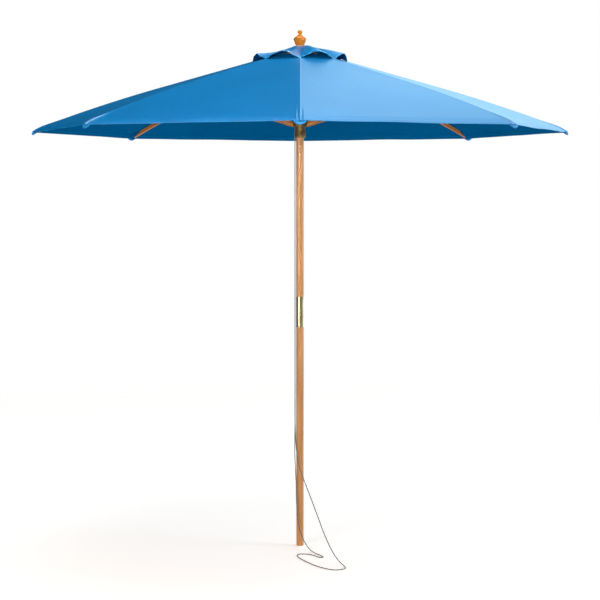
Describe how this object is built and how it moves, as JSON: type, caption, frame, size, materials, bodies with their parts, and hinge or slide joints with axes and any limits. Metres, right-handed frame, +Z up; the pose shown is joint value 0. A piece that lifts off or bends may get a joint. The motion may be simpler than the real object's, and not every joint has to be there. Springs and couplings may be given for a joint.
{
  "type": "beach umbrella",
  "caption": "Octagonal wooden market umbrella with a vented fabric canopy, folding ribs and struts, a sliding runner, a two-piece pole with a brass ferrule and a pulley cord.",
  "frame": {"origin": "centre of the pole's foot, where the pole stands in its base", "axes": "+Z up along the pole; rib 1 points along -Y, towards the viewer; +X to the viewer's right"},
  "size_m": [2.668, 2.668, 2.59],
  "materials": {
    "pole_wood": "oiled hardwood, satin",
    "rib_wood": "oiled hardwood, satin",
    "varnished_wood": "glossy orange varnish",
    "brass": "polished",
    "bronze": "dark bronze",
    "steel": "zinc plated",
    "nylon": "matte",
    "canopy_fabric": "plain-woven polyester",
    "cord": "braided"
  },
  "bodies": {
    "lower_half": {"lower_pole": "pole_wood", "ferrule": "brass"},
    "upper_half": {"upper_pole": "pole_wood", "hub": "rib_wood", "hub_wire": "steel", "finial": "varnished_wood", "vent_cap": "canopy_fabric", "pulley_bracket": "steel", "sheave_axle": "steel", "pull_cord": "cord"},
    "runner_collar": {"runner": "bronze"},
    "sheave_wheel": {"sheave": "nylon"},
    "rib_arm_1": {"rib_1": "rib_wood", "rib_bracket_1": "steel", "rib_pin_1": "steel", "canopy_panel_1": "canopy_fabric"},
    "strut_arm_1": {"strut_1": "rib_wood", "strut_pin_1": "steel"},
    "rib_arm_2": {"rib_2": "rib_wood", "rib_bracket_2": "steel", "rib_pin_2": "steel", "canopy_panel_2": "canopy_fabric"},
    "strut_arm_2": {"strut_2": "rib_wood", "strut_pin_2": "steel"},
    "rib_arm_3": {"rib_3": "rib_wood", "rib_bracket_3": "steel", "rib_pin_3": "steel", "canopy_panel_3": "canopy_fabric"},
    "strut_arm_3": {"strut_3": "rib_wood", "strut_pin_3": "steel"},
    "rib_arm_4": {"rib_4": "rib_wood", "rib_bracket_4": "steel", "rib_pin_4": "steel", "canopy_panel_4": "canopy_fabric"},
    "strut_arm_4": {"strut_4": "rib_wood", "strut_pin_4": "steel"},
    "rib_arm_5": {"rib_5": "rib_wood", "rib_bracket_5": "steel", "rib_pin_5": "steel", "canopy_panel_5": "canopy_fabric"},
    "strut_arm_5": {"strut_5": "rib_wood", "strut_pin_5": "steel"},
    "rib_arm_6": {"rib_6": "rib_wood", "rib_bracket_6": "steel", "rib_pin_6": "steel", "canopy_panel_6": "canopy_fabric"},
    "strut_arm_6": {"strut_6": "rib_wood", "strut_pin_6": "steel"},
    "rib_arm_7": {"rib_7": "rib_wood", "rib_bracket_7": "steel", "rib_pin_7": "steel", "canopy_panel_7": "canopy_fabric"},
    "strut_arm_7": {"strut_7": "rib_wood", "strut_pin_7": "steel"},
    "rib_arm_8": {"rib_8": "rib_wood", "rib_bracket_8": "steel", "rib_pin_8": "steel", "canopy_panel_8": "canopy_fabric"},
    "strut_arm_8": {"strut_8": "rib_wood", "strut_pin_8": "steel"}
  },
  "joints": [
    {"name": "upper_pole_lift", "type": "slide", "parent": "lower_half", "child": "upper_half", "axis": [0, 0, 1], "range_m": [0, 0.09]},
    {"name": "runner_slide", "type": "slide", "parent": "upper_half", "child": "runner_collar", "axis": [0, 0, -1], "range_m": [0, 0.79187]},
    {"name": "sheave_turn", "type": "hinge", "parent": "upper_half", "child": "sheave_wheel", "pos_m": [-0.025, 0, 2.405], "axis": [1, 0, 0], "continuous": true},
    {"name": "rib_1_fold", "type": "hinge", "parent": "upper_half", "child": "rib_arm_1", "pos_m": [0, -0.045, 2.47347], "axis": [1, 0, 0], "range_deg": [0, 70.1], "deforming": ["canopy_panel_1"]},
    {"name": "strut_1_fold", "type": "hinge", "parent": "rib_arm_1", "child": "strut_arm_1", "pos_m": [0, -0.58943, 2.29764], "axis": [-1, 0, 0], "range_deg": [0, 140.2]},
    {"name": "rib_2_fold", "type": "hinge", "parent": "upper_half", "child": "rib_arm_2", "pos_m": [0.03182, -0.03182, 2.47347], "axis": [0.7071, 0.7071, 0], "range_deg": [0, 70.1], "deforming": ["canopy_panel_2"]},
    {"name": "strut_2_fold", "type": "hinge", "parent": "rib_arm_2", "child": "strut_arm_2", "pos_m": [0.41679, -0.41679, 2.29764], "axis": [-0.7071, -0.7071, 0], "range_deg": [0, 140.2]},
    {"name": "rib_3_fold", "type": "hinge", "parent": "upper_half", "child": "rib_arm_3", "pos_m": [0.045, 0, 2.47347], "axis": [0, 1, 0], "range_deg": [0, 70.1], "deforming": ["canopy_panel_3"]},
    {"name": "strut_3_fold", "type": "hinge", "parent": "rib_arm_3", "child": "strut_arm_3", "pos_m": [0.58943, 0, 2.29764], "axis": [0, -1, 0], "range_deg": [0, 140.2]},
    {"name": "rib_4_fold", "type": "hinge", "parent": "upper_half", "child": "rib_arm_4", "pos_m": [0.03182, 0.03182, 2.47347], "axis": [-0.7071, 0.7071, 0], "range_deg": [0, 70.1], "deforming": ["canopy_panel_4"]},
    {"name": "strut_4_fold", "type": "hinge", "parent": "rib_arm_4", "child": "strut_arm_4", "pos_m": [0.41679, 0.41679, 2.29764], "axis": [0.7071, -0.7071, 0], "range_deg": [0, 140.2]},
    {"name": "rib_5_fold", "type": "hinge", "parent": "upper_half", "child": "rib_arm_5", "pos_m": [0, 0.045, 2.47347], "axis": [-1, 0, 0], "range_deg": [0, 70.1], "deforming": ["canopy_panel_5"]},
    {"name": "strut_5_fold", "type": "hinge", "parent": "rib_arm_5", "child": "strut_arm_5", "pos_m": [0, 0.58943, 2.29764], "axis": [1, 0, 0], "range_deg": [0, 140.2]},
    {"name": "rib_6_fold", "type": "hinge", "parent": "upper_half", "child": "rib_arm_6", "pos_m": [-0.03182, 0.03182, 2.47347], "axis": [-0.7071, -0.7071, 0], "range_deg": [0, 70.1], "deforming": ["canopy_panel_6"]},
    {"name": "strut_6_fold", "type": "hinge", "parent": "rib_arm_6", "child": "strut_arm_6", "pos_m": [-0.41679, 0.41679, 2.29764], "axis": [0.7071, 0.7071, 0], "range_deg": [0, 140.2]},
    {"name": "rib_7_fold", "type": "hinge", "parent": "upper_half", "child": "rib_arm_7", "pos_m": [-0.045, 0, 2.47347], "axis": [0, -1, 0], "range_deg": [0, 70.1], "deforming": ["canopy_panel_7"]},
    {"name": "strut_7_fold", "type": "hinge", "parent": "rib_arm_7", "child": "strut_arm_7", "pos_m": [-0.58943, 0, 2.29764], "axis": [0, 1, 0], "range_deg": [0, 140.2]},
    {"name": "rib_8_fold", "type": "hinge", "parent": "upper_half", "child": "rib_arm_8", "pos_m": [-0.03182, -0.03182, 2.47347], "axis": [0.7071, -0.7071, 0], "range_deg": [0, 70.1], "deforming": ["canopy_panel_8"]},
    {"name": "strut_8_fold", "type": "hinge", "parent": "rib_arm_8", "child": "strut_arm_8", "pos_m": [-0.41679, -0.41679, 2.29764], "axis": [-0.7071, 0.7071, 0], "range_deg": [0, 140.2]}
  ],
  "couplings": [
    {"joint": "sheave_turn", "follows": "runner_slide", "rad_per_m": 83.333},
    {"joint": "rib_1_fold", "follows": "runner_slide", "rad_per_m": 1.5451},
    {"joint": "strut_1_fold", "follows": "runner_slide", "rad_per_m": 3.0901},
    {"joint": "rib_2_fold", "follows": "runner_slide", "rad_per_m": 1.5451},
    {"joint": "strut_2_fold", "follows": "runner_slide", "rad_per_m": 3.0901},
    {"joint": "rib_3_fold", "follows": "runner_slide", "rad_per_m": 1.5451},
    {"joint": "strut_3_fold", "follows": "runner_slide", "rad_per_m": 3.0901},
    {"joint": "rib_4_fold", "follows": "runner_slide", "rad_per_m": 1.5451},
    {"joint": "strut_4_fold", "follows": "runner_slide", "rad_per_m": 3.0901},
    {"joint": "rib_5_fold", "follows": "runner_slide", "rad_per_m": 1.5451},
    {"joint": "strut_5_fold", "follows": "runner_slide", "rad_per_m": 3.0901},
    {"joint": "rib_6_fold", "follows": "runner_slide", "rad_per_m": 1.5451},
    {"joint": "strut_6_fold", "follows": "runner_slide", "rad_per_m": 3.0901},
    {"joint": "rib_7_fold", "follows": "runner_slide", "rad_per_m": 1.5451},
    {"joint": "strut_7_fold", "follows": "runner_slide", "rad_per_m": 3.0901},
    {"joint": "rib_8_fold", "follows": "runner_slide", "rad_per_m": 1.5451},
    {"joint": "strut_8_fold", "follows": "runner_slide", "rad_per_m": 3.0901}
  ]
}
